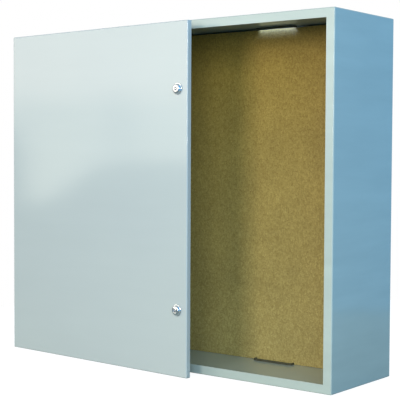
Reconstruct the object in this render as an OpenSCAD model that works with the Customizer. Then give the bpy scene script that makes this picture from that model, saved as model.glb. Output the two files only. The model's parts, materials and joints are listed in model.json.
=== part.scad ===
// Steel wall enclosure with a take-off hinged door.
//
// The cabinet is a folded steel box with a flange turned in round its open front,
// a welded back panel and a chipboard mounting board on four welded studs.
// The door is a folded pan that hangs on two hinges inside its left edge and
// closes with two quarter-turn cam locks. Each hinge leaf is slotted, so with its
// screws slackened the door slides off to the left together with its leaves.
// The model shows it that way: the door stands in front of the cabinet, set to
// the left and a few degrees open on its hinges.
//
// X runs right along the front, Y runs back into the wall and Z runs up.
// The origin is the middle of the rear face.

/* [Cabinet] */
// Outside width
box_w = 600; // [400:10:900]
// Outside height
box_h = 800; // [500:10:1200]
// Outside depth
box_d = 250; // [150:10:400]
// Thickness of the cabinet's steel sheet
shell_t = 1.5; // [1:0.1:2]
// Width of the flange round the front opening
flange_w = 20; // [20:1:30]
// Outside radius of the folded edges
bend_r = 2.5; // [2.2:0.1:4]

/* [Cable slots] */
// Width of the slot in the top and bottom walls
slot_w = 106; // [40:2:200]
// Distance of the slots' middle from the cabinet's middle, to the right
slot_x = 9; // [-60:1:60]
// Depth of each slot, front to back
slot_d = 20; // [16:1:60]
// Radius of the slot's corners
slot_r = 5; // [1:0.5:7]
// How far each slot runs back past the front of the mounting board
slot_behind = 7; // [6:1:12]
// Height of the rubber edge strip above the sheet, inside the cabinet
strip_h = 5; // [3:0.5:8]
// How far the edge strip reaches over the sheet
strip_lap = 2.2; // [1:0.2:6]

/* [Mounting board] */
// Thickness of the board
board_t = 16; // [10:1:22]
// Gap between the board and the cabinet's side walls and top
board_gap = 4; // [2:0.5:10]
// Gap between the board and the cabinet's bottom
board_foot = 0.5; // [0.2:0.1:6]
// Length of the spacers between the back panel and the board
spacer_len = 10.5; // [6:0.5:20]
// Outside diameter of the spacers
spacer_d = 16; // [12:1:22]
// Diameter of the board's welded studs
stud_d = 8; // [6:1:8]
// Length that each stud stands past the board
stud_end = 12; // [10:1:20]
// Distance from the cabinet's side to a stud
stud_inset_x = 30; // [22:1:60]
// Distance from the cabinet's top or bottom to a stud
stud_inset_z = 70; // [50:1:120]

/* [Wall fixing] */
// Diameter of the holes in the back panel
wall_hole_d = 9; // [6:0.5:11]
// Distance from the cabinet's sides, top and bottom to a hole
wall_hole_inset = 25; // [20:1:35]

/* [Door] */
// Thickness of the door's steel sheet
door_t = 1.5; // [1:0.1:1.5]
// Depth of the door's folded edge
door_depth = 12; // [11:0.5:16]
// Gap between the closed door and the cabinet's side faces
door_side_gap = 3; // [1:0.5:4]
// Gap between the closed door and the cabinet's top and bottom faces
door_end_gap = 4; // [1:0.5:6]
// Gap between the door's edge and the cabinet's flange when closed
seat_gap = 2.5; // [2.5:0.1:4]
// Distance from the door's side to the middle of a stiffening rail
rail_inset = 75; // [62:1:120]
// Width of a stiffening rail
rail_w = 20; // [16:1:30]
// Distance from the door's end to the end of a rail
rail_end = 60; // [40:1:120]
// Spacing of the rail's round holes
rail_pitch = 25; // [20:1:60]
// Diameter of the rail's round holes
rail_hole_d = 7; // [4:0.5:9]

/* [Door stand] */
// How far the taken-off door stands to the left of its closed place
park_x = 333; // [300:1:420]
// How far it stands in front of its closed place
park_y = 16; // [14:1:60]
// Angle in degrees by which it is open on its hinges
door_ajar = 2.8; // [0:0.1:6]

/* [Hinges] */
// Distance from the door's ends to the middle of a hinge
hinge_from_end = 130; // [80:5:180]
// Diameter of the hinge pin
pin_d = 4; // [3:0.5:4]
// Outside diameter of the knuckles
knuckle_d = 7.2; // [6.6:0.1:7.2]
// Length of the leaf's knuckle
leaf_knuckle_len = 21.6; // [16:0.4:24]
// Length of each door knuckle
door_knuckle_len = 14; // [8:1:14]
// Thickness of the leaf
leaf_t = 2; // [1.5:0.1:2]
// Length of the leaf
leaf_len = 72; // [68:1:76]
// Diameter of the leaf's fixing screws
leaf_screw_d = 4; // [3:0.5:4]

/* [Locks] */
// Distance from the door's free edge to a lock's middle
lock_edge = 28.5; // [27:0.5:40]
// Distance from the door's ends to a lock's middle
lock_from_end = 150; // [80:5:200]
// Diameter of the lock's outer rim
lock_rim_d = 26; // [23:0.5:30]
// Diameter of the lock's body
lock_body_d = 18; // [16:0.5:18]
// How far the lock's domed front stands out from its rim
lock_dome = 5.4; // [2:0.2:8]
// Diameter of the turning core
lock_core_d = 10; // [9:0.5:12]
// Length of the cam from the core's middle
cam_len = 25; // [22:0.5:26]
// Thickness of the cam
cam_t = 3; // [2:0.5:4]

/* [Hidden] */

$fn = 48;
eps = 0.01;                 // overlap of cutting tools
cut = 1;                    // how far a cutting tool runs past a face
thread_gap = 0.05;          // radial clearance of a nut on its stud
run_gap = 0.06;             // radial clearance of a turning fit

inner_w = box_w - 2 * shell_t;
inner_h = box_h - 2 * shell_t;
board_w = inner_w - 2 * board_gap;
board_h = inner_h - board_gap - board_foot;
board_back = -shell_t - spacer_len;
board_front = board_back - board_t;
board_washer_t = 2;
slot_y = board_front + slot_behind - slot_d / 2;
strip_wall = 1.8;                               // rubber that lines the slot's cut edge
front_y = -box_d;

door_w = box_w - 2 * door_side_gap;
door_h = box_h - 2 * door_end_gap;
seat_y = door_depth + seat_gap;                 // flange plane, from the door's face
hinge_in = door_t + knuckle_d / 2 + 0.3;        // axis, from the door's side and face
flange_from_axis = seat_y - hinge_in;
axis_closed = [-box_w / 2 + door_side_gap + hinge_in, front_y - flange_from_axis];
axis_rest = axis_closed - [park_x, park_y];
door_bottom = -box_h / 2;                       // the taken-off door stands on the floor
hinge_z = [door_h - hinge_from_end, hinge_from_end];
lock_z = [door_h - lock_from_end, lock_from_end];
hinge_slot_h = leaf_len + 6;                    // window in the door's folded edge
knuckle_gap = 0.2;
leaf_screw_z = leaf_len / 2 - 6;
leaf_screw_x = 0.6;                             // screw line, from the hinge axis
leaf_slack = 0.6;                               // gap under the slackened screw heads
leaf_head_d = 1.5 * leaf_screw_d;
leaf_head_t = 1.8;
leaf_left = -hinge_in - 2;
leaf_right = leaf_screw_x + leaf_head_d / 2 + 0.9;
web_x = 0.3;
web_t = 2.5;

gasket_w = 8;
gasket_inset = 5;
gasket_hinge_inset = hinge_in + leaf_right + 0.5;
gasket_hinge_w = flange_w - door_side_gap - gasket_hinge_inset - 0.1;
gasket_top = seat_y - 0.3;
rail_d = door_depth - door_t - 0.5;
rail_t = 1.5;

seal_t = 0.8;
rim_t = 1.4;
lock_face = -seal_t - rim_t - lock_dome;        // front of the lock, from the door's face
lock_body_end = seat_y + 0.5;
lock_hex = 24;
lock_nut_t = 5;
core_head_d = lock_core_d + 1.4;
core_head_t = 1.4;
core_sink = 0.4;                                // depth of the core below the lock's front
cam_front = seat_y + shell_t + 0.5;
cam_square = 8;
cam_hole_gap = 0.1;
cam_screw_d = 5;

earth_d = 8;
earth_len = 20;
earth_z = 60;
earth_y = -60;
door_earth_d = 6;
door_earth_len = 10;
door_earth_x = 40;
door_earth_z = 70;

// ---------------------------------------------------------------- helpers

// Rectangle with rounded corners, centred, in the XY plane
module round_rect(w, h, r) {
    square([w - 2 * r, h], center = true);
    square([w, h - 2 * r], center = true);
    for (x = [-1, 1], y = [-1, 1])
        translate([x * (w / 2 - r), y * (h / 2 - r)]) circle(r);
}

// Extrudes an XZ outline along Y, from y0 to y1
module along_y(y0, y1) {
    translate([0, y1, 0]) rotate([90, 0, 0]) linear_extrude(y1 - y0) children();
}

// Profile w wide that runs from y0 back to y1, with its two front corners rounded
module front_profile(w, y0, y1, r) {
    translate([-w / 2, y0 + r]) square([w, y1 - y0 - r]);
    translate([-w / 2 + r, y0]) square([w - 2 * r, y1 - y0]);
    for (x = [-1, 1])
        translate([x * (w / 2 - r), y0 + r]) circle(r);
}

// Block w x h, from y0 back to y1, with all its folded edges rounded
module folded_block(w, h, y0, y1, r) {
    intersection() {
        along_y(y0, y1) round_rect(w, h, r);
        translate([0, 0, -h / 2]) linear_extrude(h) front_profile(w, y0, y1, r);
        rotate([0, 90, 0])
            translate([0, 0, -w / 2]) linear_extrude(w) front_profile(h, y0, y1, r);
    }
}

// Cylinder along Y, from y0 to y1
module rod_y(d, y0, y1) {
    translate([0, y1, 0]) rotate([90, 0, 0]) cylinder(h = y1 - y0, d = d);
}

// Hexagon prism along Y with its flats left and right
module hex_y(flats, y0, y1) {
    translate([0, y1, 0]) rotate([90, 0, 0]) rotate([0, 0, 30])
        cylinder(h = y1 - y0, d = flats / cos(30), $fn = 6);
}

module washer_y(d, hole, y0, y1) {
    difference() {
        rod_y(d, y0, y1);
        rod_y(hole, y0 - cut, y1 + cut);
    }
}

// Nut along Y on a thread of diameter d
module nut_y(flats, d, y0, y1) {
    difference() {
        hex_y(flats, y0, y1);
        rod_y(d + 2 * thread_gap, y0 - cut, y1 + cut);
    }
}

module at_studs() {
    for (x = [-1, 1], z = [-1, 1])
        translate([x * (box_w / 2 - stud_inset_x), 0, z * (box_h / 2 - stud_inset_z)])
            children();
}

// Places parts given from the lower left front corner of the door
module on_door() {
    translate([axis_rest[0], axis_rest[1], door_bottom]) rotate([0, 0, -door_ajar])
        translate([-hinge_in, -hinge_in, 0]) children();
}

// Places parts given from a hinge's axis; the leaves stay square to the cabinet
module at_leaf(i) {
    translate([axis_rest[0], axis_rest[1], door_bottom + hinge_z[i]]) children();
}

module at_lock(i) {
    on_door() translate([door_w - lock_edge, 0, lock_z[i]]) children();
}

// ---------------------------------------------------------------- cabinet

// Places parts on the screw holes of the left flange, from its front face
module at_leaf_screws() {
    for (i = [0, 1], s = [-1, 1])
        translate([axis_closed[0] + leaf_screw_x, front_y,
                   door_bottom + door_end_gap + hinge_z[i] + s * leaf_screw_z])
            children();
}

// Walls and front flange, folded from one sheet
module cabinet_shell() {
    color("lightsteelblue") difference() {
        folded_block(box_w, box_h, front_y, 0, bend_r);
        along_y(front_y + shell_t, cut)
            round_rect(inner_w, inner_h, bend_r - shell_t);
        along_y(front_y - cut, front_y + shell_t + cut)
            square([box_w - 2 * flange_w, box_h - 2 * flange_w], center = true);
        for (z = [-box_h / 2 - cut, box_h / 2 - shell_t - cut])
            translate([slot_x, slot_y, z]) linear_extrude(shell_t + 2 * cut)
                round_rect(slot_w, slot_d, slot_r);
        at_leaf_screws() rod_y(leaf_screw_d + 0.3, -cut, shell_t + cut);
    }
}

module back_panel() {
    color("lightsteelblue") difference() {
        along_y(-shell_t, 0) round_rect(inner_w, inner_h, bend_r - shell_t);
        for (x = [-1, 1], z = [-1, 1])
            translate([x * (box_w / 2 - wall_hole_inset), 0, z * (box_h / 2 - wall_hole_inset)])
                rod_y(wall_hole_d, -shell_t - cut, cut);
    }
}

// Rubber round the front and the ends of a slot; the board covers the slot's back.
// It is given for the bottom wall.
module slot_strip() {
    lining = shell_t - 0.3;                     // keeps the rubber off the floor
    tall = shell_t + strip_h + 2 * cut;
    color("dimgray") translate([slot_x, slot_y, -box_h / 2]) difference() {
        translate([0, 0, shell_t]) {
            translate([0, 0, -lining]) linear_extrude(lining + eps)
                round_rect(slot_w - 2 * run_gap, slot_d - 2 * run_gap, slot_r - run_gap);
            linear_extrude(strip_h)
                round_rect(slot_w + 2 * strip_lap, slot_d + 2 * strip_lap, slot_r + strip_lap);
        }
        translate([0, 0, -cut]) linear_extrude(tall)
            round_rect(slot_w - 2 * strip_wall, slot_d - 2 * strip_wall, slot_r - strip_wall);
        translate([-slot_w, slot_d / 2 - slot_behind - board_foot, -cut])
            cube([2 * slot_w, slot_d, tall]);
    }
}

module bottom_slot_strip() { slot_strip(); }
module top_slot_strip() { mirror([0, 0, 1]) slot_strip(); }

module backboard() {
    color("darkkhaki") difference() {
        along_y(board_front, board_back)
            translate([-board_w / 2, board_foot - inner_h / 2]) square([board_w, board_h]);
        at_studs() rod_y(stud_d + 2, board_front - cut, board_back + cut);
    }
}

module board_studs() {
    color("silver") at_studs() rod_y(stud_d, board_front - stud_end, -shell_t);
}

module board_spacers() {
    color("dimgray") at_studs() washer_y(spacer_d, stud_d + 1, board_back, -shell_t);
}

module board_washers() {
    color("silver") at_studs()
        washer_y(3 * stud_d, stud_d + 0.4, board_front - board_washer_t, board_front);
}

module board_nuts() {
    nut_back = board_front - board_washer_t;
    color("silver") at_studs()
        nut_y(1.625 * stud_d, stud_d, nut_back - 0.8 * stud_d, nut_back);
}

// Slackened screws that the slotted hinge leaves slide under
module hinge_screws() {
    color("silver") at_leaf_screws() {
        rod_y(leaf_screw_d, -leaf_t - leaf_slack, shell_t + 5);
        difference() {
            rod_y(leaf_head_d, -leaf_t - leaf_slack - leaf_head_t, -leaf_t - leaf_slack);
            translate([-leaf_head_d, -leaf_t - leaf_slack - leaf_head_t - cut, -0.5])
                cube([2 * leaf_head_d, cut + 0.9, 1]);
        }
    }
}

module hinge_screw_nuts() {
    color("silver") at_leaf_screws()
        nut_y(1.75 * leaf_screw_d, leaf_screw_d, shell_t, shell_t + 0.8 * leaf_screw_d);
}

// Earth stud on the right wall: its parts are given along +Y from the wall
module at_cabinet_earth() {
    translate([inner_w / 2, earth_y, -box_h / 2 + earth_z]) rotate([0, 0, 90]) children();
}

module cabinet_earth_stud() {
    color("silver") at_cabinet_earth() rod_y(earth_d, 0, earth_len);
}

module earth_nuts(d) {
    washer_y(2 * d, d + 0.4, 0, 0.2 * d);
    nut_y(1.625 * d, d, 0.2 * d, d);
}

module cabinet_earth_nuts() {
    color("silver") at_cabinet_earth() earth_nuts(earth_d);
}

// ---------------------------------------------------------------- hinges

module hinge_leaf() {
    plate_y = flange_from_axis - leaf_t;
    color("silver") difference() {
        union() {
            translate([leaf_left, plate_y, -leaf_len / 2])
                cube([leaf_right - leaf_left, leaf_t, leaf_len]);
            translate([web_x, 0, -leaf_knuckle_len / 2])
                cube([web_t, plate_y + eps, leaf_knuckle_len]);
            cylinder(h = leaf_knuckle_len, d = knuckle_d, center = true);
        }
        cylinder(h = leaf_knuckle_len + 2 * cut, d = pin_d + 0.04, center = true);
        for (s = [-1, 1]) translate([leaf_screw_x, plate_y, s * leaf_screw_z]) {
            rod_y(leaf_screw_d + 0.4, -cut, leaf_t + cut);
            translate([0, -cut, -leaf_screw_d / 2 - 0.2])
                cube([leaf_right, leaf_t + 2 * cut, leaf_screw_d + 0.4]);
        }
    }
}

module upper_hinge_leaf() { at_leaf(0) hinge_leaf(); }
module lower_hinge_leaf() { at_leaf(1) hinge_leaf(); }

module hinge_pin() {
    reach = leaf_knuckle_len / 2 + knuckle_gap + door_knuckle_len;
    color("gainsboro") {
        translate([0, 0, -reach - 1]) cylinder(h = 2 * reach + 1.2, d = pin_d);
        translate([0, 0, reach + knuckle_gap]) cylinder(h = 1.5, d = pin_d + 2);
    }
}

module upper_hinge_pin() { at_leaf(0) hinge_pin(); }
module lower_hinge_pin() { at_leaf(1) hinge_pin(); }

// Two knuckles welded inside the door, above and below the leaf's knuckle
module hinge_knuckles(i) {
    on_door() translate([hinge_in, hinge_in, hinge_z[i]])
        for (s = [0, 1]) mirror([0, 0, s])
            translate([0, 0, leaf_knuckle_len / 2 + knuckle_gap])
                color("silver") difference() {
                    union() {
                        cylinder(h = door_knuckle_len, d = knuckle_d);
                        translate([door_t - hinge_in, door_t - hinge_in, 0])
                            cube([2 * (hinge_in - door_t), hinge_in - door_t, door_knuckle_len]);
                    }
                    translate([0, 0, -cut])
                        cylinder(h = door_knuckle_len + 2 * cut, d = pin_d + 2 * run_gap);
                }
}

module upper_hinge_knuckles() { hinge_knuckles(0); }
module lower_hinge_knuckles() { hinge_knuckles(1); }

// ---------------------------------------------------------------- door

// Folded pan with windows for the hinges and holes for the locks
module door_panel() {
    color("lightsteelblue") on_door() difference() {
        translate([door_w / 2, 0, door_h / 2])
            folded_block(door_w, door_h, 0, door_depth, bend_r);
        translate([door_t, door_t, door_t])
            cube([door_w - 2 * door_t, door_depth, door_h - 2 * door_t]);
        for (z = hinge_z)
            translate([-cut, door_t, z - hinge_slot_h / 2])
                cube([door_t + cut, door_depth, hinge_slot_h]);
        for (z = lock_z)
            translate([door_w - lock_edge, 0, z]) rod_y(lock_body_d + 0.4, -cut, door_t + cut);
    }
}

// Foam strip round the door that lands on the cabinet's flange
module door_gasket() {
    color("dimgray") on_door() difference() {
        translate([gasket_hinge_inset, door_t, gasket_inset])
            cube([door_w - gasket_hinge_inset - gasket_inset, gasket_top - door_t,
                  door_h - 2 * gasket_inset]);
        translate([gasket_hinge_inset + gasket_hinge_w, 0, gasket_inset + gasket_w])
            cube([door_w - gasket_hinge_inset - gasket_hinge_w - gasket_inset - gasket_w,
                  seat_y, door_h - 2 * (gasket_inset + gasket_w)]);
    }
}

// Perforated channel welded inside the door, centred on x
module door_rail(x) {
    len = door_h - 2 * rail_end;
    count = floor(len / rail_pitch - 0.5);
    color("lightsteelblue") on_door() translate([x, door_t, door_h / 2]) difference() {
        translate([-rail_w / 2, 0, -len / 2]) cube([rail_w, rail_d, len]);
        translate([-rail_w / 2 + rail_t, -cut, -len / 2 - cut])
            cube([rail_w - 2 * rail_t, rail_d - rail_t + cut, len + 2 * cut]);
        for (i = [0 : count - 1])
            translate([0, 0, (i - (count - 1) / 2) * rail_pitch])
                rod_y(rail_hole_d, rail_d - rail_t - cut, rail_d + cut);
    }
}

module left_door_rail() { door_rail(rail_inset); }
module right_door_rail() { door_rail(door_w - rail_inset); }

module at_door_earth() {
    on_door() translate([door_earth_x, door_t, door_earth_z]) children();
}

module door_earth_stud() {
    color("silver") at_door_earth() rod_y(door_earth_d, 0, door_earth_len);
}

module door_earth_nuts() {
    color("silver") at_door_earth() earth_nuts(door_earth_d);
}

// ---------------------------------------------------------------- locks

// Domed front with a round rim, and a body that goes through the door
module lock_housing() {
    core_r = lock_core_d / 2 + run_gap;
    head_r = core_head_d / 2 + run_gap;
    rim_r = lock_rim_d / 2;
    rim_front = -seal_t - rim_t;
    rim_round = 0.7;
    dome_r = rim_r - 1.6;
    dome_round = min(lock_dome - 0.6, dome_r - head_r - 0.4);
    color("gainsboro") rotate([-90, 0, 0]) rotate_extrude() difference() {
        union() {
            translate([0, lock_face])
                square([dome_r - dome_round, lock_body_end - lock_face]);
            translate([0, lock_face + dome_round])
                square([dome_r, rim_front + eps - lock_face - dome_round]);
            intersection() {
                translate([dome_r - dome_round, lock_face + dome_round]) circle(dome_round);
                translate([0, lock_face]) square([dome_r, rim_front - lock_face]);
            }
            translate([0, rim_front]) square([rim_r - rim_round, rim_t]);
            translate([0, rim_front + rim_round]) square([rim_r, rim_t - rim_round]);
            translate([rim_r - rim_round, rim_front + rim_round]) circle(rim_round);
            translate([0, -seal_t - eps])
                square([lock_body_d / 2, lock_body_end + seal_t + eps]);
        }
        translate([-rim_r, lock_face - cut])
            square([rim_r + core_r, lock_body_end - lock_face + 2 * cut]);
        translate([0, lock_face - cut])
            square([head_r, core_sink + core_head_t + 0.1 + cut]);
    }
}

module upper_lock_housing() { at_lock(0) lock_housing(); }
module lower_lock_housing() { at_lock(1) lock_housing(); }

module lock_seal() {
    color("dimgray") washer_y(lock_rim_d - 1, lock_body_d + 0.2, -seal_t, 0);
}

module upper_lock_seal() { at_lock(0) lock_seal(); }
module lower_lock_seal() { at_lock(1) lock_seal(); }

module lock_nut() {
    color("silver") nut_y(lock_hex, lock_body_d, door_t, door_t + lock_nut_t);
}

module upper_lock_nut() { at_lock(0) lock_nut(); }
module lower_lock_nut() { at_lock(1) lock_nut(); }

// Core with a double-bit key recess in front and a square shank behind
module lock_core() {
    face = lock_face + core_sink;
    socket_d = lock_core_d - 2.4;
    socket_deep = 7;
    color("silver") difference() {
        union() {
            rod_y(core_head_d, face, face + core_head_t);
            rod_y(lock_core_d, face + core_head_t - eps, cam_front);
            translate([-cam_square / 2, cam_front - eps, -cam_square / 2])
                cube([cam_square, cam_t, cam_square]);
        }
        difference() {
            rod_y(socket_d, face - cut, face + socket_deep);
            rod_y(3, face - 2 * cut, face + socket_deep + cut);
            translate([-0.8, face + 0.8, -3.2]) cube([1.6, socket_deep + cut, 6.4]);
        }
        rod_y(cam_screw_d + 2 * thread_gap, cam_front - 6, cam_front + cam_t + cut);
    }
}

module upper_lock_core() { at_lock(0) lock_core(); }
module lower_lock_core() { at_lock(1) lock_core(); }

// Cam that turns in behind the flange, hanging down while unlocked
module lock_cam() {
    boss_d = 15;
    tip_w = 13;
    tip_r = 3;
    hole = cam_square + 2 * cam_hole_gap;
    color("silver") difference() {
        along_y(cam_front, cam_front + cam_t) {
            circle(d = boss_d);
            translate([-tip_w / 2, -cam_len + tip_r]) square([tip_w, cam_len - tip_r]);
            translate([-tip_w / 2 + tip_r, -cam_len]) square([tip_w - 2 * tip_r, tip_r + eps]);
            for (s = [-1, 1])
                translate([s * (tip_w / 2 - tip_r), -cam_len + tip_r]) circle(tip_r);
        }
        translate([-hole / 2, cam_front - cut, -hole / 2])
            cube([hole, cam_t + 2 * cut, hole]);
    }
}

module upper_lock_cam() { at_lock(0) lock_cam(); }
module lower_lock_cam() { at_lock(1) lock_cam(); }

// Hexagon screw and washer that hold the cam on its shank
module cam_screw() {
    back = cam_front + cam_t;
    color("silver") {
        rod_y(cam_screw_d, cam_front - 5, back + 1.2);
        washer_y(14, cam_screw_d - eps, back, back + 1.2);
        hex_y(8, back + 1.2 - eps, back + 4.7);
    }
}

module upper_cam_screw() { at_lock(0) cam_screw(); }
module lower_cam_screw() { at_lock(1) cam_screw(); }

cabinet_shell();
back_panel();
backboard();
board_studs();
board_spacers();
board_washers();
board_nuts();
hinge_screws();
hinge_screw_nuts();
top_slot_strip();
bottom_slot_strip();
cabinet_earth_stud();
cabinet_earth_nuts();
upper_hinge_leaf();
lower_hinge_leaf();
upper_hinge_pin();
lower_hinge_pin();
door_panel();
upper_hinge_knuckles();
lower_hinge_knuckles();
door_gasket();
left_door_rail();
right_door_rail();
door_earth_stud();
door_earth_nuts();
upper_lock_housing();
lower_lock_housing();
upper_lock_seal();
lower_lock_seal();
upper_lock_nut();
lower_lock_nut();
upper_lock_core();
lower_lock_core();
upper_lock_cam();
lower_lock_cam();
upper_cam_screw();
lower_cam_screw();
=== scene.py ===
"""Looks of the steel wall enclosure: its paint, chipboard, plated fittings, foam and light.

Everything is in metres in the cabinet's frame: X runs right along the front, Y back
into the wall and Z up. The door stands taken off in front, a few degrees open, so
its pieces are placed with the door's own axes, which come from the joints.
"""

import json
import math

import bmesh
import bpy
from mathutils import Matrix, Vector

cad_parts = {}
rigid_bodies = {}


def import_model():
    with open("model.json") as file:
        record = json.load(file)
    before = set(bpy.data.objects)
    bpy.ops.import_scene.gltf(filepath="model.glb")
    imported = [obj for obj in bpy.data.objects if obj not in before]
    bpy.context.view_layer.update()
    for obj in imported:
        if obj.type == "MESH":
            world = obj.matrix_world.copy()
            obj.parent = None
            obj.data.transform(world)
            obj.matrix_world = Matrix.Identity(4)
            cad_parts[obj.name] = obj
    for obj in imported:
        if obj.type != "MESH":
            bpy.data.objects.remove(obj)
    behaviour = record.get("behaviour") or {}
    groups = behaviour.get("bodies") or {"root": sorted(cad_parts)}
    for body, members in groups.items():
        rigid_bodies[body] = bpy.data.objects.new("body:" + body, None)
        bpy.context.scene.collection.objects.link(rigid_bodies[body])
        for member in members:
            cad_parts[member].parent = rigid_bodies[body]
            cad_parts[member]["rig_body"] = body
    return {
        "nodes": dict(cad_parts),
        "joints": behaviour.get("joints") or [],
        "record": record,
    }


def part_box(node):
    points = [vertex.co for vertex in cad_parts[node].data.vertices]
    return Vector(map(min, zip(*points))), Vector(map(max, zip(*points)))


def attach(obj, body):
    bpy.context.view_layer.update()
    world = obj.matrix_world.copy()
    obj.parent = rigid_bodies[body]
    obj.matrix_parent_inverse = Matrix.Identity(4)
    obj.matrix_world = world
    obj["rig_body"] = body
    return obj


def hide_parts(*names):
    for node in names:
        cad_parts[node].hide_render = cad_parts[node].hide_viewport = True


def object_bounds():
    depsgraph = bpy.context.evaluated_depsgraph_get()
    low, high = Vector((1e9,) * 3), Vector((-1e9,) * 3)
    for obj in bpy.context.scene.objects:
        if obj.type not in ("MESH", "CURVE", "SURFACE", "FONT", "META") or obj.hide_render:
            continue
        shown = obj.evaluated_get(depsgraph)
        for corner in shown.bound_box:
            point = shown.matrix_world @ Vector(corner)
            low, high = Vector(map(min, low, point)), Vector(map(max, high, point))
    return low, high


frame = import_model()
cad_low, cad_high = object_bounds()
NODES = frame["nodes"]
JOINTS = {joint["name"]: joint for joint in frame["joints"]}
MM = 0.001
MERGE_GAP = 0.005 * MM
QUARTER = math.radians(90)


# ------------------------------------------------------------------ node helpers

class Shader:
    """The node tree of a material or a world, with short calls for the nodes used here."""

    def __init__(self, owner, output, coordinates):
        owner.use_nodes = True
        self.owner = owner
        self.tree = owner.node_tree
        self.output = self.tree.nodes[output]
        self.place = self.tree.nodes.new("ShaderNodeTexCoord").outputs[coordinates]

    def link(self, source, target):
        self.tree.links.new(source, target)

    def fill(self, node, values):
        """Sets a node's sockets by name: a socket is linked, any other value is stored."""
        for name, value in values.items():
            if isinstance(value, bpy.types.NodeSocket):
                self.link(value, node.inputs[name])
            else:
                node.inputs[name].default_value = value
        return node

    def stretch(self, scale, turn=(0, 0, 0)):
        """Object coordinates, scaled and turned."""
        node = self.tree.nodes.new("ShaderNodeMapping")
        self.fill(node, {"Vector": self.place, "Scale": scale, "Rotation": turn})
        return node.outputs["Vector"]

    def noise(self, size, detail, vector=None):
        """Noise whose features are about size metres across."""
        node = self.tree.nodes.new("ShaderNodeTexNoise")
        self.fill(node, {"Vector": vector or self.place, "Scale": 1 / size, "Detail": detail})
        return node.outputs["Fac"]

    def cells(self, size, vector=None):
        """Voronoi cells about size metres across."""
        node = self.tree.nodes.new("ShaderNodeTexVoronoi")
        return self.fill(node, {"Vector": vector or self.place, "Scale": 1 / size})

    def axes(self):
        """The X, Y and Z of the coordinates."""
        node = self.tree.nodes.new("ShaderNodeSeparateXYZ")
        self.link(self.place, node.inputs["Vector"])
        return node.outputs

    def camera_sees(self):
        """1 for what the camera sees straight, 0 for what only lights or reflects."""
        return self.tree.nodes.new("ShaderNodeLightPath").outputs["Is Camera Ray"]

    def ramp(self, value, stops):
        """Colours, or greys given as numbers, at positions along value."""
        node = self.tree.nodes.new("ShaderNodeValToRGB")
        points = node.color_ramp.elements
        while len(points) < len(stops):
            points.new(0.5)
        for point, (position, colour) in zip(points, stops):
            point.position = position
            point.color = (*colour, 1) if isinstance(colour, tuple) else (colour,) * 3 + (1,)
        self.link(value, node.inputs["Fac"])
        return node.outputs["Color"]

    def mix(self, amount, first, second, blend="MIX"):
        """Blends two colours, each given as a socket or as red, green and blue.

        A Mix node has its sockets once for each kind of data: 6, 7 and output 2 take colours.
        """
        node = self.tree.nodes.new("ShaderNodeMix")
        node.data_type = "RGBA"
        node.blend_type = blend
        sockets = {"Factor": node.inputs[0], "A": node.inputs[6], "B": node.inputs[7]}
        for name, value in (("Factor", amount), ("A", first), ("B", second)):
            if isinstance(value, bpy.types.NodeSocket):
                self.link(value, sockets[name])
            elif name == "Factor":
                sockets[name].default_value = value
            else:
                sockets[name].default_value = (*value, 1)
        return node.outputs[2]

    def tinted(self, colour, factor):
        """A colour multiplied by factor, which is a socket of greys or colours."""
        return self.mix(1.0, colour, factor, blend="MULTIPLY")

    def maths(self, operation, first, second):
        """Adds, subtracts or multiplies two sockets or numbers."""
        node = self.tree.nodes.new("ShaderNodeMath")
        node.operation = operation
        for socket, value in zip(node.inputs, (first, second)):
            if isinstance(value, bpy.types.NodeSocket):
                self.link(value, socket)
            else:
                socket.default_value = value
        return node.outputs["Value"]

    def bump(self, height, depth, under=None):
        """Bump whose height map is depth metres deep from black to white."""
        node = self.tree.nodes.new("ShaderNodeBump")
        self.fill(node, {"Height": height, "Distance": depth})
        if under:
            self.link(under, node.inputs["Normal"])
        return node.outputs["Normal"]

    def finish(self, **sockets):
        """Sets the output shader's sockets; underscores in their names stand for spaces."""
        self.fill(self.output, {key.replace("_", " "): value for key, value in sockets.items()})
        return self.owner


def material(name):
    return Shader(bpy.data.materials.new(name), "Principled BSDF", "Object")


# ------------------------------------------------------------------ finishes

def powder_coat(name, colour, shade, roughness, peel_depth, gloss_index, streak):
    """Stoved paint on sheet steel: faint clouding and streaks, orange peel, slow waves."""
    paint = material(name)
    clouds = paint.ramp(paint.noise(350 * MM, detail=2), [(0.3, 0.0), (0.75, 1.0)])
    tint = paint.mix(clouds, colour, shade)
    streaks = paint.noise(30 * MM, detail=3, vector=paint.stretch((0.15, 0.15, 1.0)))
    streaks = paint.ramp(streaks, [(0.25, 1 - streak), (0.75, 1 + streak)])
    tint = paint.tinted(tint, streaks)
    waves = paint.bump(paint.noise(120 * MM, detail=1), peel_depth * 12)
    waves = paint.bump(paint.noise(18 * MM, detail=1), peel_depth * 2, under=waves)
    peel = paint.bump(paint.noise(3.2 * MM, detail=1.5), peel_depth, under=waves)
    uneven = paint.maths("MULTIPLY", paint.noise(80 * MM, detail=2), roughness * 0.4)
    gloss = paint.maths("ADD", roughness * 0.8, uneven)
    return paint.finish(Base_Color=tint, Roughness=gloss, Normal=peel, IOR=gloss_index)


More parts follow.
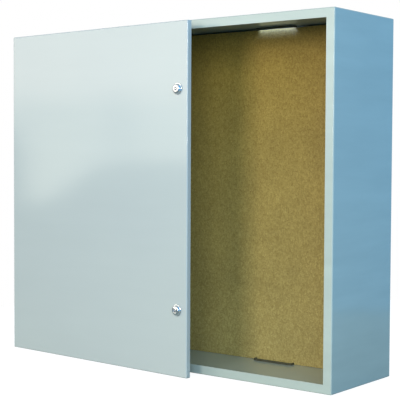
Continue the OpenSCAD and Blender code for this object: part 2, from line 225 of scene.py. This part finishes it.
def chipboard(name):
    """Pressed wood chips: flakes in close browns, dark bark specks, and painted shade that makes
    them darker and browner towards the top.
    """
    board = material(name)
    large = board.cells(3.4 * MM, board.stretch((1.0, 1.0, 0.7), (0, 0.5, 0)))
    small = board.cells(1.6 * MM, board.stretch((0.6, 1.0, 1.0), (0, -0.4, 0)))
    tone = board.ramp(large.outputs["Color"],
                      [(0.15, (0.300, 0.215, 0.066)), (0.5, (0.400, 0.300, 0.100)),
                       (0.85, (0.500, 0.390, 0.145))])
    fleck = board.ramp(small.outputs["Color"],
                       [(0.1, (0.260, 0.185, 0.058)), (0.5, (0.390, 0.290, 0.098)),
                        (0.9, (0.540, 0.425, 0.175))])
    tone = board.mix(0.45, tone, fleck)
    bark = board.ramp(board.noise(2.6 * MM, detail=2), [(0.70, 0.0), (0.76, 0.5)])
    tone = board.mix(bark, tone, (0.120, 0.080, 0.030))
    patches = board.ramp(board.noise(90 * MM, detail=3), [(0.3, 0.90), (0.7, 1.04)])
    tone = board.tinted(tone, patches)
    height = board.maths("ADD", board.axes()["Z"], -cad_low.z)
    # Painted shade: darker and browner towards the top, where the cabinet's top shades the
    # board, and a touch lighter at the bottom.
    painted_top_shade = board.ramp(height, [(0.0, (1.03, 1.03, 0.94)), (0.8, (0.91, 0.74, 0.34))])
    tone = board.tinted(tone, painted_top_shade)
    relief = board.bump(large.outputs["Distance"], 0.2 * MM)
    relief = board.bump(board.noise(1.2 * MM, detail=3), 0.1 * MM, under=relief)
    return board.finish(Base_Color=tone, Roughness=0.7, Normal=relief)


def zinc_plate(name, colour, roughness):
    """Bright zinc over turned steel, with passivation clouds and fine scratches."""
    zinc = material(name)
    clouds = zinc.ramp(zinc.noise(6 * MM, detail=4), [(0.3, 0.0), (0.7, 1.0)])
    passivated = tuple(value * share for value, share in zip(colour, (0.86, 0.90, 0.97)))
    tint = zinc.mix(clouds, colour, passivated)
    wear = zinc.noise(0.7 * MM, detail=3, vector=zinc.stretch((1, 1, 0.15)))
    rough = zinc.ramp(wear, [(0.25, roughness * 0.7), (0.8, roughness * 1.35)])
    scratches = zinc.bump(wear, 0.02 * MM)
    return zinc.finish(Base_Color=tint, Metallic=1.0, Roughness=rough, Normal=scratches)


def chrome_plate(name):
    """Bright chrome on a zinc casting, very slightly uneven."""
    chrome = material(name)
    smear = chrome.ramp(chrome.noise(10 * MM, detail=3), [(0.35, 0.07), (0.75, 0.16)])
    ripple = chrome.bump(chrome.noise(4 * MM, detail=1), 0.03 * MM)
    return chrome.finish(Base_Color=(0.83, 0.85, 0.87, 1), Metallic=1.0, Roughness=smear,
                         Normal=ripple)


def rubber(name, colour, roughness, grain, depth):
    """Moulded or foamed rubber, dusty in patches, with grain metres between its pores."""
    soft = material(name)
    pores = soft.cells(grain).outputs["Distance"]
    dust = soft.ramp(soft.noise(20 * MM, detail=4), [(0.45, 0.0), (0.8, 0.25)])
    dusty = tuple(value * 0.6 + 0.1 for value in colour)
    tint = soft.mix(dust, colour, dusty)
    return soft.finish(Base_Color=tint, Roughness=roughness, Normal=soft.bump(pores, depth))


FINISHES = {
    "cabinet_paint": powder_coat(
        "cabinet_paint", colour=(0.440, 0.498, 0.440), shade=(0.420, 0.480, 0.430),
        roughness=0.13, peel_depth=0.01 * MM, gloss_index=1.48, streak=0.045),
    "door_paint": powder_coat(
        "door_paint", colour=(0.488, 0.528, 0.500), shade=(0.470, 0.510, 0.492),
        roughness=0.08, peel_depth=0.005 * MM, gloss_index=1.58, streak=0.010),
    "chipboard": chipboard("chipboard"),
    "zinc_steel": zinc_plate("zinc_steel", colour=(0.66, 0.67, 0.66), roughness=0.32),
    "bright_steel": zinc_plate("bright_steel", colour=(0.74, 0.74, 0.73), roughness=0.2),
    "lock_chrome": chrome_plate("lock_chrome"),
    "black_rubber": rubber("black_rubber", colour=(0.062, 0.057, 0.028), roughness=0.6,
                           grain=0.8 * MM, depth=0.03 * MM),
    "foam_gasket": rubber("foam_gasket", colour=(0.040, 0.041, 0.043), roughness=0.9,
                          grain=1.1 * MM, depth=0.35 * MM),
    "spacer_plastic": rubber("spacer_plastic", colour=(0.018, 0.018, 0.019), roughness=0.42,
                             grain=0.6 * MM, depth=0.02 * MM),
}
SLOTS = {row["node"]: row["material_slot"] for row in frame["record"]["subparts"]}

for node, slot in SLOTS.items():
    data = NODES[node].data
    data.materials.clear()
    data.materials.append(FINISHES[slot])


# ------------------------------------------------------------------ measuring and making

def door_axes():
    """Origin on the door's hinge axis, X along the door, Y towards the cabinet."""
    swing = JOINTS["door_swing"]
    turn = Matrix.Rotation(math.radians(-swing["range_deg"][1]), 4, "Z")
    return Matrix.Translation(Vector(swing["pos_m"])) @ turn


DOOR = door_axes()
CABINET = Matrix()


def corners(points):
    """Lowest and highest corner of the box round some points."""
    return Vector(map(min, zip(*points))), Vector(map(max, zip(*points)))


def extent(node, axes=CABINET):
    """Lowest and highest corner of a CAD node, measured along axes."""
    back = axes.inverted()
    return corners([back @ vertex.co for vertex in NODES[node].data.vertices])


def merged_copy(node):
    """A CAD node's shape with its loose triangles joined."""
    mesh = bmesh.new()
    mesh.from_mesh(NODES[node].data)
    bmesh.ops.remove_doubles(mesh, verts=mesh.verts, dist=MERGE_GAP)
    return mesh


def solid_extents(node):
    """Lowest and highest corner of each separate solid of a CAD node."""
    mesh = merged_copy(node)
    left = set(mesh.verts)
    found = []
    while left:
        front = [left.pop()]
        group = []
        while front:
            vertex = front.pop()
            group.append(vertex.co.copy())
            near = {edge.other_vert(vertex) for edge in vertex.link_edges} & left
            left -= near
            front += near
        found.append(corners(group))
    mesh.free()
    return found


def cut(mesh, place, normal, clear=False):
    """Cuts a mesh along a plane, and with clear drops what lies on the normal's side."""
    geometry = mesh.verts[:] + mesh.edges[:] + mesh.faces[:]
    bmesh.ops.bisect_plane(mesh, geom=geometry, plane_co=place, plane_no=normal,
                           clear_outer=clear)


def thicken(mesh, thickness):
    """Makes a solid of a flat sheet, with its faces turned outwards."""
    bmesh.ops.solidify(mesh, geom=mesh.faces[:], thickness=thickness)
    bmesh.ops.recalc_face_normals(mesh, faces=mesh.faces)


def shift(mesh, x=0, y=0, z=0):
    bmesh.ops.translate(mesh, verts=mesh.verts, vec=(x, y, z))


def sharp_edges(mesh, angle):
    """Edges where two faces turn by more than angle degrees."""
    return [edge for edge in mesh.edges
            if len(edge.link_faces) == 2 and edge.calc_face_angle() > math.radians(angle)]


def round_edges(mesh, edges, offset, segments):
    bmesh.ops.bevel(mesh, geom=edges, affect="EDGES", offset=offset, segments=segments,
                    profile=0.5, material=-1, clamp_overlap=True)


def round_corners(mesh, points, radius, segments):
    bmesh.ops.bevel(mesh, geom=points, affect="VERTICES", offset=radius,
                    segments=segments, profile=0.5, material=-1)


def add_to(mesh, other, matrix=CABINET):
    """Adds other to mesh, moved by matrix, and frees it."""
    bmesh.ops.transform(other, matrix=matrix, verts=other.verts)
    data = bpy.data.meshes.new("part")
    other.to_mesh(data)
    other.free()
    mesh.from_mesh(data)
    bpy.data.meshes.remove(data)


def stand_in(mesh, name, node, axes=CABINET, crease=32):
    """Turns mesh into a piece in place of a CAD node, on its body and with its finish."""
    bmesh.ops.transform(mesh, matrix=axes, verts=mesh.verts)
    data = bpy.data.meshes.new(name)
    mesh.to_mesh(data)
    mesh.free()
    data.polygons.foreach_set("use_smooth", [True] * len(data.polygons))
    data.set_sharp_from_angle(angle=math.radians(crease))
    data.materials.append(FINISHES[SLOTS[node]])
    piece = bpy.data.objects.new(name, data)
    bpy.context.scene.collection.objects.link(piece)
    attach(piece, NODES[node]["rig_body"])
    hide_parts(node)


# ------------------------------------------------------------------ rubber and foam

def foam_gasket():
    """Foamed strip with a soft crown, poured as one ring inside the door."""
    low, high = extent("door_gasket", DOOR)
    width = 8 * MM
    width_at_hinges = 6.5 * MM
    corner_radius = 3 * MM
    crown_radius = 2.6 * MM
    left, right = low.x + width_at_hinges, high.x - width
    bottom, top = low.z + width, high.z - width
    mesh = bmesh.new()
    outline = [(low.x, low.z), (high.x, low.z), (high.x, high.z), (low.x, high.z)]
    mesh.faces.new([mesh.verts.new((x, low.y, z)) for x, z in outline])
    for x in (left, right):
        cut(mesh, (x, 0, 0), (1, 0, 0))
    for z in (bottom, top):
        cut(mesh, (0, 0, z), (0, 0, 1))
    middle = [face for face in mesh.faces
              if left < face.calc_center_median().x < right
              and bottom < face.calc_center_median().z < top]
    bmesh.ops.delete(mesh, geom=middle, context="FACES")
    thicken(mesh, high.y - low.y)
    shift(mesh, y=low.y - min(vertex.co.y for vertex in mesh.verts))
    upright = [edge for edge in sharp_edges(mesh, 60)
               if abs(edge.verts[0].co.y - edge.verts[1].co.y) > width]
    round_edges(mesh, upright, corner_radius, segments=4)
    rear = max(vertex.co.y for vertex in mesh.verts)
    crown = [edge for edge in sharp_edges(mesh, 60)
             if all(abs(vertex.co.y - rear) < 0.1 * MM for vertex in edge.verts)]
    round_edges(mesh, crown, crown_radius, segments=5)
    stand_in(mesh, "door_foam_gasket", "door_gasket", DOOR, crease=50)


def add_band(mesh, low, high, radius, width, bottom, top):
    """Adds an open band round the front and the ends of a slot, cut off square behind."""
    behind = high.y + 2 * radius
    outline = [(low.x, low.y), (high.x, low.y), (high.x, behind), (low.x, behind)]
    sheet = bmesh.new()
    sheet.faces.new([sheet.verts.new((x, y, bottom)) for x, y in outline])
    round_corners(sheet, sheet.verts[:], radius, segments=6)
    bmesh.ops.inset_region(sheet, faces=sheet.faces[:], thickness=width, use_boundary=True,
                           use_even_offset=True)
    hole = max(sheet.faces, key=lambda face: len(face.verts))
    bmesh.ops.delete(sheet, geom=[hole], context="FACES")
    cut(sheet, (0, high.y, 0), (0, 1, 0), clear=True)
    thicken(sheet, bottom - top)
    shift(sheet, z=bottom - min(vertex.co.z for vertex in sheet.verts))
    crown = [edge for edge in sharp_edges(sheet, 60)
             if all(abs(vertex.co.z - top) < 0.01 * MM for vertex in edge.verts)]
    crown_radius = width * 0.38
    round_edges(sheet, crown, crown_radius, segments=4)
    add_to(mesh, sheet)


def edge_strip(node, name):
    """Soft rubber edging: a fat collar on the sheet and a thin lining in the slot.

    The top strip is made like the bottom one and then turned over.
    """
    upside_down = Matrix.Scale(-1, 4, (0, 0, 1))
    at_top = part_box(node)[0].z > 0
    axes = upside_down if at_top else CABINET
    low, high = extent(node, axes)
    lap = 2.26 * MM
    lining_depth = 1.2 * MM
    soft_edge = 0.45 * MM
    mesh = bmesh.new()
    add_band(mesh, low, high, radius=7.2 * MM, width=4.0 * MM, bottom=low.z + lining_depth,
             top=high.z)
    add_band(mesh, low + Vector((lap, lap, 0)), high - Vector((lap, 0, 0)),
             radius=4.9 * MM, width=1.74 * MM, bottom=low.z, top=low.z + 2 * lining_depth)
    round_edges(mesh, sharp_edges(mesh, 50), soft_edge, segments=3)
    if at_top:
        bmesh.ops.transform(mesh, matrix=axes, verts=mesh.verts)
        bmesh.ops.recalc_face_normals(mesh, faces=mesh.faces)
    stand_in(mesh, name, node, crease=50)


foam_gasket()
edge_strip("bottom_slot_strip", "bottom_edge_strip")
edge_strip("top_slot_strip", "top_edge_strip")


# ------------------------------------------------------------------ turned and threaded parts

def spun(points, rounds=(), steps=64):
    """Solid turned round Y from a section in XY, both in millimetres.

    Each of rounds gives a corner's number in points, its radius and its segments.
    """
    mesh = bmesh.new()
    mesh.faces.new([mesh.verts.new((x * MM, y * MM, 0)) for x, y in points])
    for corner, radius, segments in rounds:
        x, y = points[corner]
        place = Vector((x * MM, y * MM, 0))
        vertex = min(mesh.verts, key=lambda other: (other.co - place).length)
        round_corners(mesh, [vertex], radius * MM, segments)
    bmesh.ops.delete(mesh, geom=mesh.faces[:], context="FACES_ONLY")
    bmesh.ops.spin(mesh, geom=mesh.verts[:] + mesh.edges[:], cent=(0, 0, 0), axis=(0, 1, 0),
                   angle=2 * math.pi, steps=steps, use_merge=True)
    bmesh.ops.remove_doubles(mesh, verts=mesh.verts, dist=0.001 * MM)
    bmesh.ops.recalc_face_normals(mesh, faces=mesh.faces)
    return mesh


def threaded_rod(diameter, pitch, length):
    """Rod along Y from the origin, with a V thread and square ends.

    One turn of the thread is a root and a narrow crest, at shares of the pitch. It runs
    past both ends, and the ends are then cut off and closed.
    """
    mesh = bmesh.new()
    crest = diameter / 2
    root = crest - 0.6 * pitch
    thread = ((root, 0.0), (crest, 0.4), (crest, 0.6))
    chain = []
    for turn in range(math.ceil(length / pitch) + 2):
        start = (turn - 1) * pitch
        chain += [mesh.verts.new((radius, start + share * pitch, 0)) for radius, share in thread]
    for first, second in zip(chain, chain[1:]):
        mesh.edges.new((first, second))
    steps = 20
    bmesh.ops.spin(mesh, geom=mesh.verts[:] + mesh.edges[:], cent=(0, 0, 0), axis=(0, 1, 0),
                   dvec=(0, pitch / steps, 0), angle=2 * math.pi, steps=steps)
    bmesh.ops.remove_doubles(mesh, verts=mesh.verts, dist=MERGE_GAP)
    for place, side in ((0.0, -1), (length, 1)):
        cut(mesh, (0, place, 0), (0, side, 0), clear=True)
        rim = [edge for edge in mesh.edges if edge.is_boundary
               and all(abs(vertex.co.y - place) < MERGE_GAP for vertex in edge.verts)]
        bmesh.ops.contextual_create(mesh, geom=rim)
    bmesh.ops.recalc_face_normals(mesh, faces=mesh.faces)
    return mesh


M8_PITCH = 1.25 * MM
M6_PITCH = 1.0 * MM
M4_PITCH = 0.7 * MM


def board_studs():
    """Four welded studs, threaded along their whole length."""
    mesh = bmesh.new()
    for low, high in solid_extents("board_studs"):
        middle = (low + high) / 2
        rod = threaded_rod(high.x - low.x, M8_PITCH, high.y - low.y)
        add_to(mesh, rod, Matrix.Translation((middle.x, low.y, middle.z)))
    stand_in(mesh, "threaded_board_studs", "board_studs")


def earth_studs():
    """The cabinet's stud stands on its side wall along X, and the door's along its Y."""
    low, high = extent("cabinet_earth_stud")
    middle = (low + high) / 2
    rod = threaded_rod(high.y - low.y, M8_PITCH, high.x - low.x)
    lie = Matrix.Translation((low.x, middle.y, middle.z)) @ Matrix.Rotation(-QUARTER, 4, "Z")
    mesh = bmesh.new()
    add_to(mesh, rod, lie)
    stand_in(mesh, "threaded_cabinet_earth_stud", "cabinet_earth_stud")
    low, high = extent("door_earth_stud", DOOR)
    middle = (low + high) / 2
    rod = threaded_rod(high.x - low.x, M6_PITCH, high.y - low.y)
    mesh = bmesh.new()
    add_to(mesh, rod, Matrix.Translation((middle.x, low.y, middle.z)))
    stand_in(mesh, "threaded_door_earth_stud", "door_earth_stud", DOOR)


def slot_half(radius, slot_width, depth, side):
    """One of the two segments of a disc that stand beside a screw's slot, above or below."""
    half = bmesh.new()
    bmesh.ops.create_circle(half, cap_ends=True, radius=radius, segments=40)
    bmesh.ops.rotate(half, verts=half.verts, matrix=Matrix.Rotation(QUARTER, 3, "X"))
    cut(half, (0, 0, side * slot_width / 2), (0, 0, -side), clear=True)
    thicken(half, depth)
    shift(half, y=-min(vertex.co.y for vertex in half.verts))
    front = [edge for edge in sharp_edges(half, 50)
             if all(vertex.co.y < 0.1 * MM for vertex in edge.verts)]
    round_edges(half, front, 0.3 * MM, segments=3)
    return half


def hinge_screws():
    """Cheese-head screws: a rounded slotted head in front and a threaded shank behind."""
    mesh = bmesh.new()
    head = 1.8
    slot_depth = 0.9
    slot_width = 1.0
    overlap = 0.05
    hub = 0.5
    for low, high in solid_extents("hinge_screws"):
        middle = (low + high) / 2
        front = Matrix.Translation((middle.x, low.y, middle.z))
        behind_head = Matrix.Translation((middle.x, low.y + head * MM, middle.z))
        radius = (high.x - low.x) / 2
        rim = radius / MM
        shank = threaded_rod(4 * MM, M4_PITCH, high.y - low.y - head * MM)
        add_to(mesh, shank, behind_head)
        disc = spun([(hub, slot_depth), (rim, slot_depth), (rim, head), (hub, head)], steps=40)
        add_to(mesh, disc, front)
        for side in (-1, 1):
            half = slot_half(radius, slot_width * MM, (slot_depth + overlap) * MM, side)
            add_to(mesh, half, front)
    stand_in(mesh, "slotted_hinge_screws", "hinge_screws")


def lock_axes(which):
    """Door axes moved to a lock, with their origin at the rear face of its seal."""
    low, high = extent(which + "_lock_seal", DOOR)
    middle = (low + high) / 2
    return DOOR @ Matrix.Translation((middle.x, high.y, middle.z))


def lock_front(which):
    """Die-cast lock front with a domed shoulder, a thin rim and a threaded body behind."""
    axes = lock_axes(which)
    low, high = extent(which + "_lock_housing", axes)
    face = low.y / MM
    back = high.y / MM
    rim = high.x / MM
    bore = 5.06
    recess = 5.76
    recess_floor = face + 1.9
    shoulder = rim - 1.6
    rim_front = -2.2
    rim_back = -0.8
    body = 9.0
    chamfer = 0.3
    thread_root = 8.3
    thread_start = 6.5
    pitch = 1.5
    crest = 0.1
    section = [(bore, back), (bore, recess_floor), (recess, recess_floor), (recess, face),
               (shoulder, face), (shoulder, rim_front), (rim, rim_front), (rim, rim_back),
               (body, rim_back), (body, thread_start)]
    groove = thread_start
    while groove + pitch < back - chamfer - crest:
        section += [(thread_root, groove + pitch / 2), (body, groove + pitch - crest),
                    (body, groove + pitch)]
        groove += pitch
    section += [(body, back - chamfer), (body - chamfer, back)]
    lip = (3, 0.15, 2)
    dome = (4, 4.8, 12)
    foot = (5, 0.3, 3)
    edge = (6, 0.7, 5)
    mesh = spun(section, [lip, dome, foot, edge], steps=96)
    stand_in(mesh, which + "_lock_front", which + "_lock_housing", axes)


def lock_ring(which):
    """Rubber ring under the lock's rim, with a bulged edge."""
    axes = lock_axes(which)
    low, high = extent(which + "_lock_seal", axes)
    outer = high.x / MM
    bottom = low.y / MM
    bore = 9.1
    bulge = 0.3
    section = [(bore, bottom), (outer - bulge, bottom), (outer, bottom / 2),
               (outer - bulge, 0), (bore, 0)]
    ridge = (2, 0.25, 3)
    mesh = spun(section, [ridge])
    stand_in(mesh, which + "_lock_ring", which + "_lock_seal", axes, crease=50)


def soften(node, name, width, seat=False):
    """A CAD part with its sharp edges broken by width millimetres, to catch the light.

    With seat, its rear face is drawn in a little, because it comes to lie on the flange.
    """
    mesh = merged_copy(node)
    seat_gap = 0.04 * MM
    if seat:
        back = max(vertex.co.y for vertex in mesh.verts)
        rear = [vertex for vertex in mesh.verts if vertex.co.y > back - 0.01 * MM]
        bmesh.ops.translate(mesh, verts=rear, vec=(0, -seat_gap, 0))
    bmesh.ops.dissolve_limit(mesh, angle_limit=math.radians(0.5), verts=mesh.verts[:],
                             edges=mesh.edges[:])
    round_edges(mesh, sharp_edges(mesh, 35), width * MM, segments=2)
    stand_in(mesh, name, node)


board_studs()
earth_studs()
hinge_screws()
for which in ("upper", "lower"):
    lock_front(which)
    lock_ring(which)
    soften(which + "_lock_core", which + "_key_core", 0.12)
    soften(which + "_lock_cam", which + "_pressed_cam", 0.3)
    soften(which + "_lock_nut", which + "_lock_hex_nut", 0.4)
    soften(which + "_cam_screw", which + "_cam_hex_screw", 0.2)
    soften(which + "_hinge_leaf", which + "_slotted_leaf", 0.25, seat=True)
    soften(which + "_hinge_pin", which + "_round_pin", 0.25)
    soften(which + "_hinge_knuckles", which + "_welded_knuckles", 0.25)
for node, name, width in (
        ("board_washers", "wide_board_washers", 0.3),
        ("board_nuts", "board_hex_nuts", 0.4),
        ("board_spacers", "moulded_spacers", 0.3),
        ("hinge_screw_nuts", "small_hex_nuts", 0.25),
        ("cabinet_earth_nuts", "cabinet_earth_hex_nuts", 0.4),
        ("door_earth_nuts", "door_earth_hex_nuts", 0.3),
        ("left_door_rail", "left_folded_rail", 0.35),
        ("right_door_rail", "right_folded_rail", 0.35)):
    soften(node, name, width)


# ------------------------------------------------------------------ room and camera

# Light from each part of the yard round the cabinet, as red, green and blue.
NEAR_GROUND = (0.30, 0.33, 0.30)
FAR_GROUND = (0.185, 0.22, 0.24)
SKY_FRONT = (0.80, 0.82, 0.76)
SKY_LOW = (2.3, 2.28, 2.0)
SKY_HIGH = (3.45, 3.15, 2.75)
SKY_SIDE = (0.125, 0.45, 0.88)
SKY_TOP = (0.42, 0.47, 0.50)
FOLIAGE = (0.7, 0.9, 0.8)
LEDGE = (1.0, 1.1, 1.0)
WHITE = (1.0, 1.0, 1.0)
FLOOR_RADIUS = 1.2
FLOOR_DROP = 0.2 * MM
SLOT_FROM_BOARD = 6 * MM


def pale_floor():
    """Pale matt floor: the camera sees it near white, but it throws little light back."""
    ground = material("pale_floor")
    patches = ground.noise(400 * MM, detail=2)
    seen = ground.mix(patches, (0.22, 0.22, 0.22), (0.20, 0.20, 0.20))
    straight = ground.camera_sees()
    tint = ground.mix(straight, NEAR_GROUND, seen)
    glow = ground.maths("MULTIPLY", straight, 0.92)
    return ground.finish(Base_Color=tint, Roughness=1.0, Emission_Color=(1, 1, 1, 1),
                         Emission_Strength=glow, Specular_IOR_Level=0.0)


def lay_floor():
    """A round floor just under the cabinet."""
    mesh = bmesh.new()
    bmesh.ops.create_circle(mesh, cap_ends=True, segments=96, radius=FLOOR_RADIUS)
    shift(mesh, z=cad_low.z - FLOOR_DROP)
    data = bpy.data.meshes.new("floor")
    mesh.to_mesh(data)
    mesh.free()
    floor = bpy.data.objects.new("floor", data)
    bpy.context.scene.collection.objects.link(floor)
    data.materials.append(pale_floor())


def softbox(name, place, target, width, height, watts, colour):
    """A rectangular lamp at place that shines towards target."""
    data = bpy.data.lights.new(name, "AREA")
    data.shape = "RECTANGLE"
    data.size = width
    data.size_y = height
    data.energy = watts
    data.color = colour
    lamp = bpy.data.objects.new(name, data)
    lamp.location = place
    lamp.rotation_mode = "QUATERNION"
    lamp.rotation_quaternion = (Vector(target) - Vector(place)).to_track_quat("-Z", "Y")
    bpy.context.scene.collection.objects.link(lamp)
    return lamp


def set_camera(place, bearing, dip, roll, lens):
    """Camera at place that looks bearing degrees left of +Y and dip degrees down."""
    data = bpy.data.cameras.new("camera")
    data.lens = lens
    data.clip_end = 100
    camera = bpy.data.objects.new("camera", data)
    turn = (Matrix.Rotation(math.radians(bearing), 4, "Z")
            @ Matrix.Rotation(math.radians(90 - dip), 4, "X")
            @ Matrix.Rotation(math.radians(roll), 4, "Z"))
    camera.matrix_world = Matrix.Translation(place) @ turn
    bpy.context.scene.collection.objects.link(camera)
    bpy.context.scene.camera = camera


def bright_sky(sky, left, rise):
    """The light sky at the front left: brighter above a haze, with a tree and a ledge.

    Here and below, left and rise tell how far left and how high a direction points.
    """
    haze = sky.ramp(rise, [(0.138, 0.0), (0.160, 1.0)])
    bright = sky.mix(haze, SKY_LOW, SKY_HIGH)
    trunk = sky.ramp(left, [(0.730, 0.0), (0.741, 1.0), (0.745, 1.0), (0.756, 0.0)])
    crown = sky.ramp(rise, [(0.088, 0.3), (0.110, 0.45), (0.140, 1.0), (0.162, 0.0)])
    tree = sky.maths("MULTIPLY", trunk, sky.maths("MULTIPLY", crown, 0.5))
    bright = sky.mix(tree, bright, FOLIAGE)
    line = sky.ramp(rise, [(0.128, 0.0), (0.136, 1.0), (0.138, 0.0)])
    ledge = sky.maths("MULTIPLY", line, sky.ramp(left, [(0.755, 0.0), (0.775, 0.5)]))
    return sky.mix(ledge, bright, LEDGE)


def paint_sky():
    """A yard seen only in reflections: bright left, blue right, dim top, white backdrop."""
    sky = Shader(bpy.data.worlds.new("room"), "Background", "Generated")
    x, y, z = sky.axes()
    left = sky.maths("MULTIPLY", x, -1.0)
    front = sky.ramp(sky.maths("MULTIPLY", y, -1.0), [(0.3, 0.0), (0.5, 1.0)])
    rise = sky.maths("ADD", z, 0.10)
    skyline = sky.ramp(left, [(0.745, 0.089), (0.761, 0.083), (0.772, 0.066), (0.786, 0.051),
                              (0.797, 0.051), (0.801, 0.120)])
    above = sky.ramp(sky.maths("SUBTRACT", rise, skyline), [(0.0, 0.0), (0.006, 1.0)])
    bright = bright_sky(sky, left, rise)
    across = sky.ramp(left, [(0.25, 0.0), (0.50, 1.0), (0.83, 1.0), (0.95, 0.0)])
    fade = sky.ramp(rise, [(0.30, 1.0), (0.52, 0.0)])
    lobe = sky.maths("MULTIPLY", sky.maths("MULTIPLY", across, front),
                     sky.maths("MULTIPLY", above, fade))
    up = sky.ramp(rise, [(0.08, 0.0), (0.30, 1.0)])
    overhead = sky.ramp(z, [(0.45, 0.0), (0.8, 1.0)])
    right = sky.ramp(x, [(0.0, 0.0), (0.45, 1.0)])
    light = sky.mix(up, FAR_GROUND, SKY_FRONT)
    light = sky.mix(overhead, light, SKY_TOP)
    light = sky.mix(lobe, light, bright)
    light = sky.mix(right, light, SKY_SIDE)
    bpy.context.scene.world = sky.finish(Color=sky.mix(sky.camera_sees(), light, WHITE))


def hang_lamps():
    """A key and a fill in front, one behind, and daylight through the top slot.

    The daylight reaches only the board, through the slot. The fill and the back lamp
    don't show in the paint's gloss, so the top of the cabinet keeps its colour.
    """
    middle = (0, -0.12, 0)
    softbox("key", (0.45, -4.2, 0.62), middle, width=1.0, height=1.0, watts=60,
            colour=(1.0, 0.95, 0.88))
    fill = softbox("fill", (2.7, -3.4, 0.9), middle, width=2.2, height=1.6, watts=112,
                   colour=(0.75, 0.87, 0.94))
    back = softbox("back", (-2.0, 3.6, 1.8), (0, 0, 0), width=2.0, height=2.0, watts=60,
                   colour=(1.0, 0.99, 0.97))
    for lamp in (fill, back):
        lamp.visible_glossy = False
    strip_low, strip_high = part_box("top_slot_strip")
    board_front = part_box("backboard")[0].y
    slot = Vector(((strip_low.x + strip_high.x) / 2, board_front - SLOT_FROM_BOARD,
                   cad_high.z))
    above_slot = slot + Vector((0, -0.112, 0.086))
    daylight = softbox("daylight", above_slot, slot, width=0.25, height=0.17, watts=1.8,
                       colour=(0.56, 0.96, 2.7))
    board_only = bpy.data.collections.new("board_only")
    board_only.objects.link(NODES["backboard"])
    daylight.light_linking.receiver_collection = board_only


set_camera(place=(1.4597, -2.1685, 0.0991), bearing=38.15, dip=2.45, roll=0.26, lens=97.65)
lay_floor()
paint_sky()
hang_lamps()
bpy.context.scene.view_settings.view_transform = "Standard"
